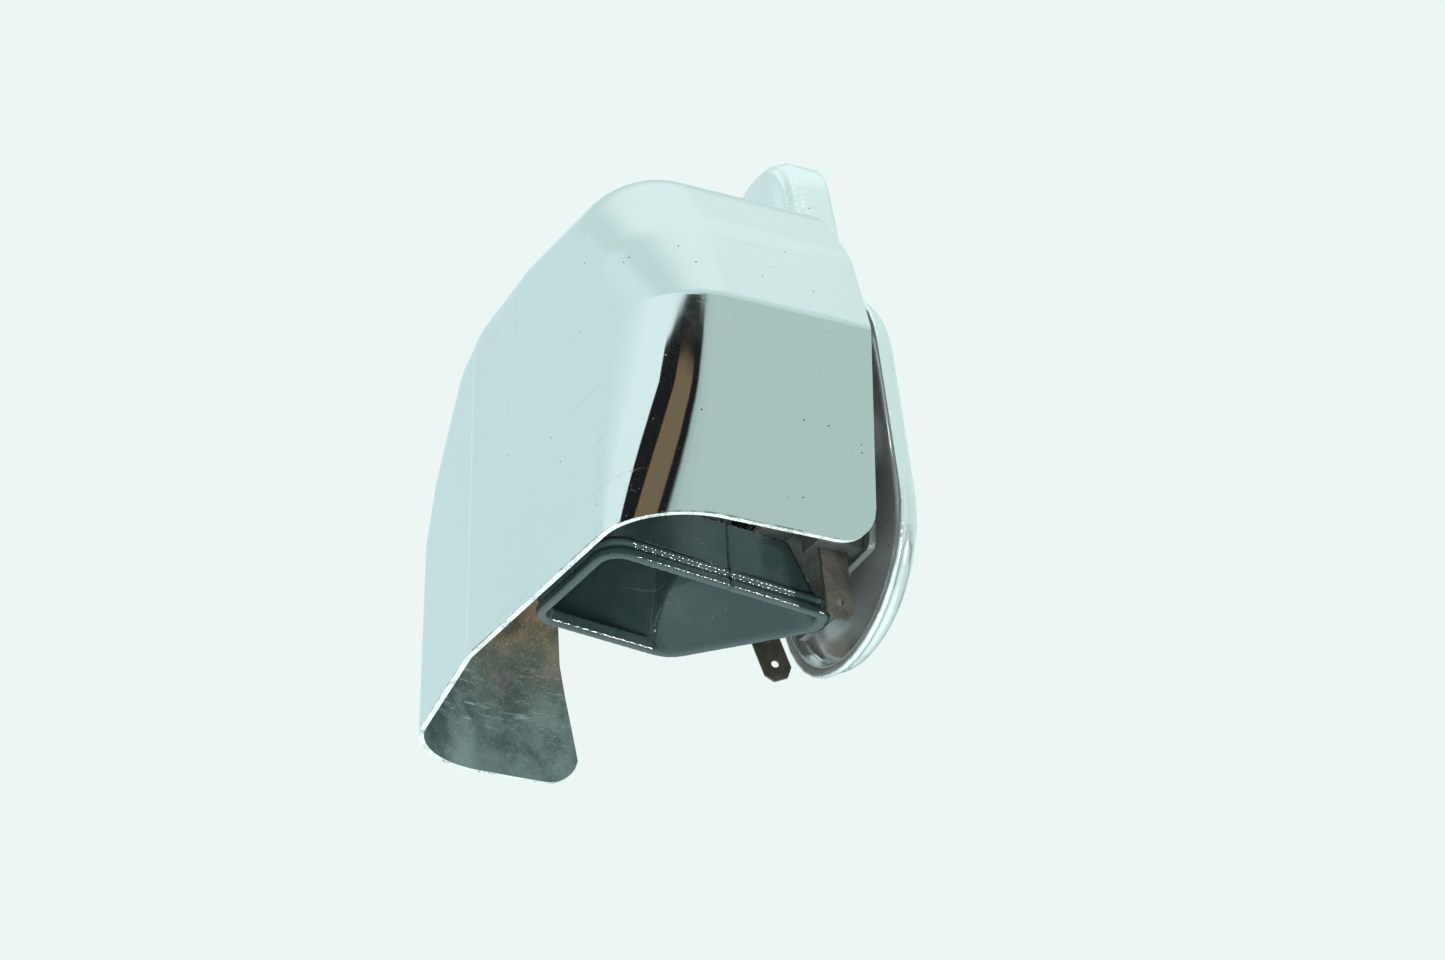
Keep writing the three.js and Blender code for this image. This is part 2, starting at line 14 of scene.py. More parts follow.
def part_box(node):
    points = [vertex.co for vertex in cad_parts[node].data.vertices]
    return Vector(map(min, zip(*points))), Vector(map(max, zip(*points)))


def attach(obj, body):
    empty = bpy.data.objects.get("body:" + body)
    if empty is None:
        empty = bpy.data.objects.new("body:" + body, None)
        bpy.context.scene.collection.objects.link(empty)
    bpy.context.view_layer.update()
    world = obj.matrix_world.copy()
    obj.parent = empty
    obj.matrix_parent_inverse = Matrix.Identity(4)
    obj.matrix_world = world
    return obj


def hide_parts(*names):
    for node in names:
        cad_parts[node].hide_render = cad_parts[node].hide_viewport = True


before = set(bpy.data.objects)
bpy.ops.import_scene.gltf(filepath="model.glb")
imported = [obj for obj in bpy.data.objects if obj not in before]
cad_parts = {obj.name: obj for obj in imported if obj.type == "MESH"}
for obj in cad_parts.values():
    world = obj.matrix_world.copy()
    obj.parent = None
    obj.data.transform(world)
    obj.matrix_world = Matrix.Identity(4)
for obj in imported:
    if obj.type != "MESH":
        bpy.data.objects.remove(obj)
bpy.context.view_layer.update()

logging.basicConfig(level=logging.INFO, format="%(message)s")
log = logging.getLogger("horn")

MM = 0.001
QUARTER = math.pi / 2
FULL = 2 * math.pi
CREASE_LEAN = 0.03  # the hood's crease moves this far left for each unit that it rises
NOWHERE_LOW = -1.0  # a height below everything, in metres
NOWHERE_ASIDE = 9.0  # a place beside everything, in metres

Colour = tuple[float, float, float]
Span = tuple[float, float]
Spot = tuple[float, float, float, float]  # x, z and the outward normal's two parts
Side = tuple[list[list[int]], int]  # point numbers row by row, and the crease's foot


class Body(Enum):
    """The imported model's bodies."""

    BRACKET = "bracket"
    HORN = "horn"
    MEMBRANE = "membrane"
    BREAKER = "breaker"
    ADJUSTER = "adjuster"


class Slot(Enum):
    """The record's material slots."""

    CHROME = "chrome"
    ZINC = "zinc_steel"
    BARE = "bare_steel"
    SPRING = "spring_steel"
    PLASTIC = "black_plastic"
    PHENOLIC = "phenolic"
    COPPER = "copper"
    RUBBER = "rubber"


# ---- shader wiring ----


class Wire:
    """A shader value that can be used in plain arithmetic."""

    def __init__(self, board: "Board", socket: bpy.types.NodeSocket) -> None:
        """Keeps an output socket with the board that it belongs to."""
        self.board = board
        self.socket = socket

    def _maths(self, operation: str, first: Any, second: Any) -> "Wire":
        """Adds one Math node.

        Args:
            operation: The node's operation.
            first: Its first value or wire.
            second: Its second value or wire.

        Returns:
            The wire of the result.
        """
        return self.board.node("ShaderNodeMath", {"operation": operation}, {0: first, 1: second})

    def __add__(self, other: Any) -> "Wire":
        """Sum."""
        return self._maths("ADD", self, other)

    def __mul__(self, other: Any) -> "Wire":
        """Product."""
        return self._maths("MULTIPLY", self, other)

    def __sub__(self, other: Any) -> "Wire":
        """Difference."""
        return self._maths("SUBTRACT", self, other)

    def __rsub__(self, other: Any) -> "Wire":
        """Difference, with this value taken away."""
        return self._maths("SUBTRACT", other, self)

    def __truediv__(self, other: Any) -> "Wire":
        """Quotient."""
        return self._maths("DIVIDE", self, other)


class Board:
    """A node tree with one method that makes every node."""

    # Stretch to the metre and turn in radians of each family of scratches.
    SCRATCH_WAYS: ClassVar[tuple[tuple[Colour, Colour], ...]] = (
        ((30.0, 30.0, 1400.0), (0.3, 0.5, 0.2)),
        ((1500.0, 60.0, 40.0), (0.9, 0.2, 0.7)),
        ((50.0, 1300.0, 1300.0), (0.2, 1.1, 0.5)),
    )
    SCRATCH_LIMITS: ClassVar[Span] = (0.70, 0.74)  # noise above these is a scratch
    SPECK_PATCHES: ClassVar[float] = 0.31  # patches of specks to one cell

    def __init__(self, tree: bpy.types.NodeTree) -> None:
        """Keeps the tree."""
        self.tree = tree

    def node(
        self,
        kind: str,
        settings: dict[str, Any] | None = None,
        inputs: dict[str | int, Any] | None = None,
        output: str | int = 0,
    ) -> Wire:
        """Makes a node, sets it up and feeds its sockets.

        Args:
            kind: The node's type.
            settings: Its properties; "stops" lists a ramp's places and colours.
            inputs: Values or wires by socket name or number.
            output: The output wanted.

        Returns:
            The wire of that output.
        """
        made = self.tree.nodes.new(kind)
        for key, value in (settings or {}).items():
            if key == "stops":
                self._stops(made.color_ramp, value)
            else:
                setattr(made, key, value)
        for key, value in (inputs or {}).items():
            self.feed(made.inputs[key], value)
        return Wire(self, made.outputs[output])

    def _stops(self, ramp: bpy.types.ColorRamp, stops: list[tuple[float, Any]]) -> None:
        """Lays the stops of a colour ramp.

        Args:
            ramp: The ramp.
            stops: Places from 0 to 1, with a grey value or a colour each.
        """
        while len(ramp.elements) < len(stops):
            ramp.elements.new(1.0)
        for element, (place, value) in zip(ramp.elements, stops):
            colour = (value,) * 3 if isinstance(value, (int, float)) else value
            element.position = place
            element.color = (*colour, 1.0)

    def feed(self, socket: bpy.types.NodeSocket, value: Any) -> None:
        """Links a wire to a socket, or sets the socket's own value.

        Args:
            socket: The input socket.
            value: A wire, a number, a vector or a colour.
        """
        if isinstance(value, Wire):
            self.tree.links.new(value.socket, socket)
        elif isinstance(value, tuple) and socket.type == "RGBA":
            socket.default_value = (*value[:3], 1.0)
        else:
            socket.default_value = value

    def place(self) -> Wire:
        """The point's place in the shared frame, in metres."""
        return self.node("ShaderNodeTexCoord", output="Object")

    def stretched(self, stretch: Colour, turn: Colour = (0.0, 0.0, 0.0)) -> Wire:
        """The place, turned and stretched.

        Args:
            stretch: Factors along the three axes.
            turn: Angles about the three axes, in radians.

        Returns:
            The wire of the mapped vector.
        """
        return self.node(
            "ShaderNodeMapping", {}, {"Vector": self.place(), "Scale": stretch, "Rotation": turn}
        )

    def noise(
        self, scale: float, detail: float = 3.0, rough: float = 0.5, at: Wire | None = None
    ) -> Wire:
        """Cloudy noise.

        Args:
            scale: Clouds to the metre.
            detail: Octaves.
            rough: Weight of the fine octaves.
            at: The place to read, or None for the plain place.

        Returns:
            The wire of the noise, about 0.5.
        """
        source = at or self.place()
        wanted = {"Vector": source, "Scale": scale, "Detail": detail, "Roughness": rough}
        return self.node("ShaderNodeTexNoise", {}, wanted)

    def between(self, value: Wire, low: float, high: float) -> Wire:
        """Rises smoothly from 0 to 1 as the value goes from low to high.

        Args:
            value: The value read.
            low: Where the rise starts.
            high: Where it ends.

        Returns:
            The wire of the mask.
        """
        wanted = {"Value": value, "From Min": low, "From Max": high}
        return self.node("ShaderNodeMapRange", {"interpolation_type": "SMOOTHSTEP"}, wanted)

    def window(self, value: Wire, rise: Span, fall: Span) -> Wire:
        """Rises from 0 to 1 over one span and falls back to 0 over another.

        Args:
            value: The value read.
            rise: Where the rise starts and ends.
            fall: Where the fall starts and ends.

        Returns:
            The wire of the mask.
        """
        return self.between(value, *rise) * (1.0 - self.between(value, *fall))

    def mix(self, mask: Any, first: Any, second: Any) -> Wire:
        """Mixes two colours.

        Args:
            mask: 0 for the first, 1 for the second.
            first: A colour or its wire.
            second: A colour or its wire.

        Returns:
            The wire of the colour.
        """
        return self.node(
            "ShaderNodeMix", {"data_type": "RGBA"}, {0: mask, 6: first, 7: second}, 2
        )

    def axis(self, name: str) -> Wire:
        """One coordinate of the place.

        Args:
            name: X, Y or Z.

        Returns:
            The wire of the coordinate, in metres.
        """
        return self.node("ShaderNodeSeparateXYZ", {}, {0: self.place()}, name)

    def scratches(self, amount: float = 0.03) -> Wire:
        """Fine scratches that run several ways.

        Args:
            amount: How much more of the surface they cover than the fewest.

        Returns:
            The wire of a mask, 1 on a scratch.
        """
        total: Wire | None = None
        for stretch, turn in self.SCRATCH_WAYS:
            lines = self.noise(1.0, 1.0, 0.4, self.stretched(stretch, turn))
            mask = self.between(lines, *(limit - amount for limit in self.SCRATCH_LIMITS))
            total = mask if total is None else total + mask
        patch = self.between(self.noise(38.0, 2.0), 0.42, 0.66)
        return total * patch

    def specks(self, scale: float, size: float) -> Wire:
        """Small round specks.

        Args:
            scale: Cells to the metre.
            size: Radius of a speck as a part of its cell.

        Returns:
            The wire of a mask, 1 on a speck.
        """
        wanted = {"Vector": self.place(), "Scale": scale}
        cells = self.node("ShaderNodeTexVoronoi", {}, wanted, "Distance")
        odd = self.between(self.noise(scale * self.SPECK_PATCHES, 1.0), 0.55, 0.62)
        return (1.0 - self.between(cells, size * 0.6, size)) * odd

    def bump(
        self, height: Wire, strength: float, distance: float, over: Wire | None = None
    ) -> Wire:
        """A Bump node.

        Args:
            height: The height's wire.
            strength: Strength from 0 to 1.
            distance: Real height in metres.
            over: A bump below this one.

        Returns:
            The wire of the normal.
        """
        wanted = {"Height": height, "Strength": strength, "Distance": distance}
        if over is not None:
            wanted["Normal"] = over
        return self.node("ShaderNodeBump", {}, wanted)


# ---- finishes ----


@dataclass(frozen=True)
class Finish:
    """A surface finish: its base values, before its own detail."""

    name: str
    colour: Colour
    rough: float
    metal: float = 0.0

    def material(self) -> bpy.types.Material:
        """Makes the material, or returns it if it is there.

        Returns:
            The material.
        """
        made = bpy.data.materials.get(self.name)
        if made is not None:
            return made
        made = bpy.data.materials.new(self.name)
        made.use_nodes = True
        made.diffuse_color = (*self.colour, 1.0)
        board = Board(made.node_tree)
        shader = made.node_tree.nodes["Principled BSDF"]
        shader.inputs["Base Color"].default_value = (*self.colour, 1.0)
        shader.inputs["Roughness"].default_value = self.rough
        shader.inputs["Metallic"].default_value = self.metal
        for socket, value in self.detail(board).items():
            board.feed(shader.inputs[socket], value)
        return made

    def shade(self, share: float) -> Colour:
        """The base colour, darkened or lightened.

        Args:
            share: How much of it stays.

        Returns:
            The colour, no part of it above 1.
        """
        return tuple(min(1.0, part * share) for part in self.colour)

    def detail(self, board: Board) -> dict[str, Any]:
        """The shader's varying inputs, by socket name.

        Args:
            board: The material's node board.

        Returns:
            Wires by the name of the socket they feed.
        """
        cloud = board.noise(90.0, 5.0, 0.6)
        return {
            "Base Color": board.mix(
                board.between(cloud, 0.3, 0.7), self.shade(0.7), self.colour
            ),
            "Roughness": cloud * 0.2 + (self.rough - 0.1),
        }


@dataclass(frozen=True)
class BrightChrome(Finish):
    """Mirror chrome over pressed steel, with fine scratches and smears, and a painted highlight
    along the crease.
    """

    WORN: ClassVar[Colour] = (0.5, 0.5, 0.48)
    PITTED: ClassVar[Colour] = (0.09, 0.07, 0.055)
    EDGE_DARKENING: ClassVar[Colour] = (0.12, 0.1, 0.08)
    CREASE_HIGHLIGHT: ClassVar[Colour] = (1.0, 1.0, 1.0)
    BURR: ClassVar[Span] = (0.0002, 0.0006)  # heights over which the darkening just above the cut edge fades
    LINE: ClassVar[Span] = (0.0002, 0.0011)  # distances over which the crease's painted highlight fades
    LINE_FOOT: ClassVar[Span] = (0.0, 0.006)  # heights over which that painted highlight begins
    SCRATCH_DEPTH: ClassVar[float] = 0.00002

    edge: float = NOWHERE_LOW  # height of the cut edge
    wave: float = 0.0007  # rise of the sheet's slow waves
    crease: float = NOWHERE_ASIDE  # where the crease meets the cut edge

    def detail(self, board: Board) -> dict[str, Any]:
        """See Finish.detail."""
        drawn = board.stretched((1.0, 1.0, 0.5))
        smear = board.between(board.noise(26.0, 4.0, 0.6, drawn), 0.4, 0.75)
        haze = board.between(board.noise(240.0, 3.0), 0.45, 0.8)
        scratch = board.scratches(0.0)
        speck = board.specks(300.0, 0.075)
        above = board.axis("Z") - self.edge
        burr = 1.0 - board.between(above, *self.BURR)
        # darker in patches in a thin band just above the cut edge
        edge_darkening = burr * board.between(board.noise(260.0, 2.0), 0.42, 0.62) * 0.7
        beside = board.axis("X") - self.crease + above * CREASE_LEAN
        near = board.node("ShaderNodeMath", {"operation": "ABSOLUTE"}, {0: beside})
        line = (1.0 - board.between(near, *self.LINE)) * board.between(above, *self.LINE_FOOT)
        base = board.mix(smear * 0.5, self.colour, self.shade(0.93))
        base = board.mix(scratch * 0.2, base, self.WORN)
        base = board.mix(speck, base, self.PITTED)
        base = board.mix(edge_darkening, base, self.EDGE_DARKENING)
        # painted highlight: the base colour turns white in a thin line along the crease
        base = board.mix(line * 0.8, base, self.CREASE_HIGHLIGHT)
        rough = smear * 0.03 + haze * 0.015 + scratch * 0.12 + self.rough
        hollow = board.bump(board.noise(14.0, 1.5, 0.4), 1.0, self.wave)
        return {
            "Base Color": base,
            "Roughness": rough + edge_darkening * 0.3 + line * 0.1,
            "Normal": board.bump(1.0 - scratch - speck, 0.15, self.SCRATCH_DEPTH, hollow),
        }


@dataclass(frozen=True)
class DullInside(Finish):
    """Unpolished, stained inside of the hood: rust near the crown and pale scuffs below."""

    COOL_STAIN: ClassVar[Colour] = (0.045, 0.07, 0.068)
    WARM: ClassVar[Colour] = (0.12, 0.105, 0.065)
    WARM_STAIN: ClassVar[Colour] = (0.065, 0.062, 0.045)
    RUST: ClassVar[Colour] = (0.16, 0.085, 0.035)
    SCUFFED: ClassVar[Colour] = (0.36, 0.42, 0.41)
    GRIT: ClassVar[Colour] = (0.3, 0.33, 0.3)
    DRAG: ClassVar[tuple[Colour, Colour]] = ((160.0, 160.0, 900.0), (0.5, 0.25, 0.1))
    PIT_DEPTH: ClassVar[float] = 0.0001

    crown: float = 0.0  # height where the rust is full
    mouth: float = -0.1  # height where it begins

    def detail(self, board: Board) -> dict[str, Any]:
        """See Finish.detail."""
        high = board.between(board.axis("Z"), self.mouth, self.crown)
        stain = board.between(board.noise(60.0, 7.0, 0.68), 0.36, 0.66)
        rust = board.between(board.noise(110.0, 6.0, 0.7), 0.4, 0.62) * high
        drag = board.noise(1.0, 4.0, 0.65, board.stretched(*self.DRAG))
        scuff = board.between(drag, 0.55, 0.66) * board.between(board.noise(70.0, 3.0), 0.42, 0.6)
        grit = board.between(board.noise(1500.0, 3.0, 0.7), 0.56, 0.64)
        cool = board.mix(stain, self.colour, self.COOL_STAIN)
        warm = board.mix(stain, self.WARM, self.WARM_STAIN)
        base = board.mix(high, cool, warm)
        base = board.mix(rust * 0.55, base, self.RUST)
        base = board.mix(scuff * (1.0 - high) * 0.6, base, self.SCUFFED)
        base = board.mix(grit * 0.3, base, self.GRIT)
        return {
            "Base Color": base,
            "Roughness": stain * 0.15 + rust * 0.2 - scuff * 0.06 + self.rough,
            "Metallic": 0.75 - rust * 0.6,
            "Normal": board.bump(stain + rust * 0.6 + grit * 0.2, 0.4, self.PIT_DEPTH),
        }


@dataclass(frozen=True)
class ShearedEdge(Finish):
    """Bright cut edge of the sheet with the blade's marks across it."""

    MARKED: ClassVar[Colour] = (0.3, 0.31, 0.3)
    MARK_DEPTH: ClassVar[float] = 0.00018

    def detail(self, board: Board) -> dict[str, Any]:
        """See Finish.detail."""
        marks = board.noise(1.0, 2.0, 0.6, board.stretched((1500.0, 1500.0, 260.0)))
        torn = board.between(board.noise(150.0, 2.0), 0.45, 0.6)
        line = board.between(marks, 0.42, 0.6)
        return {
            "Base Color": board.mix(line * torn * 0.8, self.colour, self.MARKED),
            "Roughness": line * 0.2 + self.rough,
            "Normal": board.bump(marks, 0.7, self.MARK_DEPTH),
        }


@dataclass(frozen=True)
class MouldedPlastic(Finish):
    """Glossy black moulding, lightly scuffed and dusty, with grey-blue patches that are partly a
    dull film and partly a painted sheen.
    """

    FILM_AND_SHEEN: ClassVar[Colour] = (0.045, 0.062, 0.062)
    SCUFFED: ClassVar[Colour] = (0.16, 0.17, 0.17)
    DUST: ClassVar[Colour] = (0.28, 0.29, 0.28)
    FLOW_RISE: ClassVar[float] = 0.0006
    SCUFF_DEPTH: ClassVar[float] = 0.00002

    def detail(self, board: Board) -> dict[str, Any]:
        """See Finish.detail."""
        scuff = board.scratches(-0.02)
        dust = board.specks(500.0, 0.06)
        film_and_sheen = board.between(board.noise(34.0, 5.0, 0.6), 0.42, 0.75)
        flow = board.noise(45.0, 2.0, 0.5, board.stretched((1.0, 1.0, 0.4)))
        # grey-blue patches: partly a dull film, partly a painted sheen
        base = board.mix(film_and_sheen * 0.6, self.colour, self.FILM_AND_SHEEN)
        base = board.mix(scuff * 0.12, base, self.SCUFFED)
        base = board.mix(dust * 0.7, base, self.DUST)
        scuffed = board.bump(scuff, 0.2, self.SCUFF_DEPTH)
        return {
            "Base Color": base,
            "Roughness": film_and_sheen * 0.1 + scuff * 0.25 + dust * 0.4 + self.rough,
            "Normal": board.bump(flow, 0.8, self.FLOW_RISE, scuffed),
        }


@dataclass(frozen=True)
class Plated(Finish):
    """Dull plated or bare steel, clouded and spotted."""

    SPOT_DEPTH: ClassVar[float] = 0.00008

    stain: Colour = (0.16, 0.13, 0.1)
    grain: float = 160.0

    def detail(self, board: Board) -> dict[str, Any]:
        """See Finish.detail."""
        cloud = board.between(board.noise(self.grain, 6.0, 0.65), 0.35, 0.7)
        spot = board.between(board.noise(self.grain * 4.0, 3.0, 0.6), 0.58, 0.7)
        scratch = board.scratches(0.05)
        base = board.mix(cloud * 0.55, self.colour, self.stain)
        base = board.mix(spot * 0.6, base, tuple(part * 0.6 for part in self.stain))
        base = board.mix(scratch * 0.3, base, self.shade(1.6))
        return {
            "Base Color": base,
            "Roughness": cloud * 0.14 + spot * 0.15 + self.rough - scratch * 0.1,
            "Normal": board.bump(cloud + spot, 0.35, self.SPOT_DEPTH),
        }


@dataclass(frozen=True)
class WoundWire(Finish):
    """Lacquered wire laid in close turns about the coil's axis."""

    BETWEEN: ClassVar[Colour] = (0.1, 0.03, 0.015)
    WIRE_RISE: ClassVar[float] = 0.0002

    turn: float = 0.0006  # width of one turn

    def detail(self, board: Board) -> dict[str, Any]:
        """See Finish.detail."""
        along = board.axis("Y") * (FULL / self.turn)
        wound = board.node("ShaderNodeMath", {"operation": "SINE"}, {0: along})
        cloud = board.noise(120.0, 3.0)
        return {
            "Base Color": board.mix(board.between(wound, -1.0, 0.2), self.BETWEEN, self.colour),
            "Roughness": cloud * 0.2 + (self.rough - 0.1),
            "Normal": board.bump(wound, 0.8, self.WIRE_RISE),
        }


@dataclass(frozen=True)
class Grained(Finish):
    """Rubber, fibre or moulded phenolic with a fine matt grain."""

    GRAIN_DEPTH: ClassVar[float] = 0.00012

    grain: float = 900.0

    def detail(self, board: Board) -> dict[str, Any]:
        """See Finish.detail."""
        grain = board.noise(self.grain, 4.0, 0.7)
        chalk = board.between(board.noise(70.0, 5.0, 0.6), 0.45, 0.75)
        pale = tuple(0.75 * part + 0.06 for part in self.colour)
        return {
            "Base Color": board.mix(chalk * 0.6, self.colour, pale),
            "Roughness": grain * 0.2 + chalk * 0.1 + (self.rough - 0.15),
            "Normal": board.bump(grain, 0.5, self.GRAIN_DEPTH),
        }


@dataclass(frozen=True)
class Seamless(Finish):
    """Plain pale studio surface, very slightly uneven."""

    def detail(self, board: Board) -> dict[str, Any]:
        """See Finish.detail."""
        cloud = board.between(board.noise(1.5, 3.0), 0.3, 0.7)
        return {"Base Color": board.mix(cloud, self.shade(0.96), self.colour)}


# Name, colour, roughness and metal share, then each kind's own values.
CUT_EDGE = ShearedEdge("cut_edge", (0.9, 0.93, 0.93), 0.3, 0.7)
ZINC = Plated("dull_zinc", (0.44, 0.455, 0.45), 0.34, 0.95, stain=(0.2, 0.185, 0.16))
# Dark steel: its colour is partly tarnish and partly painted shade, for the shadow that the
# terminals sit in.
TARNISH_AND_SHADE = Plated(
    "tarnish_and_shade_steel", (0.12, 0.108, 0.09), 0.4, 0.8, stain=(0.035, 0.03, 0.025), grain=260.0
)
SPRING = Plated("spring_sheet", (0.5, 0.49, 0.46), 0.26, 1.0, stain=(0.3, 0.25, 0.18), grain=80.0)
PLASTIC = MouldedPlastic("black_moulding", (0.017, 0.03, 0.031), 0.1)
FIBRE = Grained("brown_fibre", (0.1, 0.058, 0.034), 0.6)
BLOCK = Grained("black_block", (0.02, 0.024, 0.024), 0.5)
PALE_FLOOR = Seamless("pale_floor", (0.76, 0.81, 0.8), 0.8)
RUBBER = Grained("bush_rubber", (0.018, 0.018, 0.019), 0.72, grain=1400.0)
WINDING = WoundWire("wound_wire", (0.5, 0.19, 0.08), 0.35, 0.8)
LEAF = Plated("copper_leaf", (0.5, 0.25, 0.13), 0.32, 1.0, stain=(0.2, 0.09, 0.05), grain=200.0)


# ---- mesh helpers ----

WELD = 0.002 * MM  # vertices nearer than this are one
SHARP = math.radians(30.0)  # edges sharper than this are broken
EDGE_STEPS = 2  # steps across a broken edge
FLOW_STEP = 0.5  # how far each smoothing round goes


def new_piece(
    name: str, mesh: bpy.types.Mesh, finishes: list[Finish], body: Body, slot: Slot, *nodes: str
) -> bpy.types.Object:
    """Puts a finished mesh on its body in place of its CAD nodes.

    Args:
        name: The piece's name.
        mesh: Its mesh, in the shared frame.
        finishes: Its finishes, by material number.
        body: The body it rides on.
        slot: The record's material slot.
        nodes: The CAD nodes it stands for.

    Returns:
        The new object.
    """
    piece = bpy.data.objects.new(name, mesh)
    bpy.context.scene.collection.objects.link(piece)
    if mesh.materials:
        mesh.materials.clear()
    for finish in finishes:
        mesh.materials.append(finish.material())
    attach(piece, body.value)
    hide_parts(*nodes)
    log.info("%s rides on %s as %s", name, body.value, slot.value)
    return piece


def cleaned(node: str, flat: float = 1.5) -> bpy.types.Mesh:
    """A welded copy of a CAD node's mesh, with its flat faces joined up.

    Args:
        node: The CAD node.
        flat: Faces that meet within this angle, in degrees, are joined.

    Returns:
        The new mesh.
    """
    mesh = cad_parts[node].data.copy()
    work = bmesh.new()
    work.from_mesh(mesh)
    bmesh.ops.remove_doubles(work, verts=work.verts, dist=WELD)
    bmesh.ops.dissolve_limit(
        work, angle_limit=math.radians(flat), verts=work.verts, edges=work.edges
    )
    for face in work.faces:
        face.smooth = True
        face.material_index = 0
    work.to_mesh(mesh)
    work.free()
    return mesh


def soft_edges(piece: bpy.types.Object, width: float) -> None:
    """Breaks a piece's sharp edges as tumbling or moulding does.

    Args:
        piece: The piece.
        width: Width of the broken edge in millimetres.
    """
    piece.data.set_sharp_from_angle(angle=SHARP)
    bevel = piece.modifiers.new("broken edge", "BEVEL")
    bevel.width = width * MM
    bevel.segments = EDGE_STEPS
    bevel.limit_method = "ANGLE"
    bevel.angle_limit = SHARP
    bevel.use_clamp_overlap = True
    bevel.harden_normals = True
    bevel.miter_outer = "MITER_ARC"


def flowed(piece: bpy.types.Object, voxel: float, rounds: int) -> None:
    """Gives a piece the flowing surface of a pressing or a moulding.

    Args:
        piece: The piece.
        voxel: Grain of the new surface in millimetres.
        rounds: Smoothing rounds.
    """
    remesh = piece.modifiers.new("even skin", "REMESH")
    remesh.mode = "VOXEL"
    remesh.voxel_size = voxel * MM
    remesh.use_smooth_shade = True
    smooth = piece.modifiers.new("flow", "SMOOTH")
    smooth.factor = FLOW_STEP
    smooth.iterations = rounds


def copied(node: str, finish: Finish, body: Body, slot: Slot, width: float) -> None:
    """Remakes a CAD node with broken edges and its own finish.

    Args:
        node: The CAD node.
        finish: Its finish.
        body: The body it rides on.
        slot: The record's material slot.
        width: Width of its broken edges in millimetres.
    """
    soft_edges(new_piece(f"{node}_finished", cleaned(node), [finish], body, slot, node), width)


# ---- hood ----


@dataclass
class Sheet:
    """Points, facings and faces gathered for one mesh."""

    points: list[Vector] = field(default_factory=list)
    facing: list[tuple[float, Vector]] = field(default_factory=list)
    faces: list[tuple[list[int], int, float]] = field(default_factory=list)


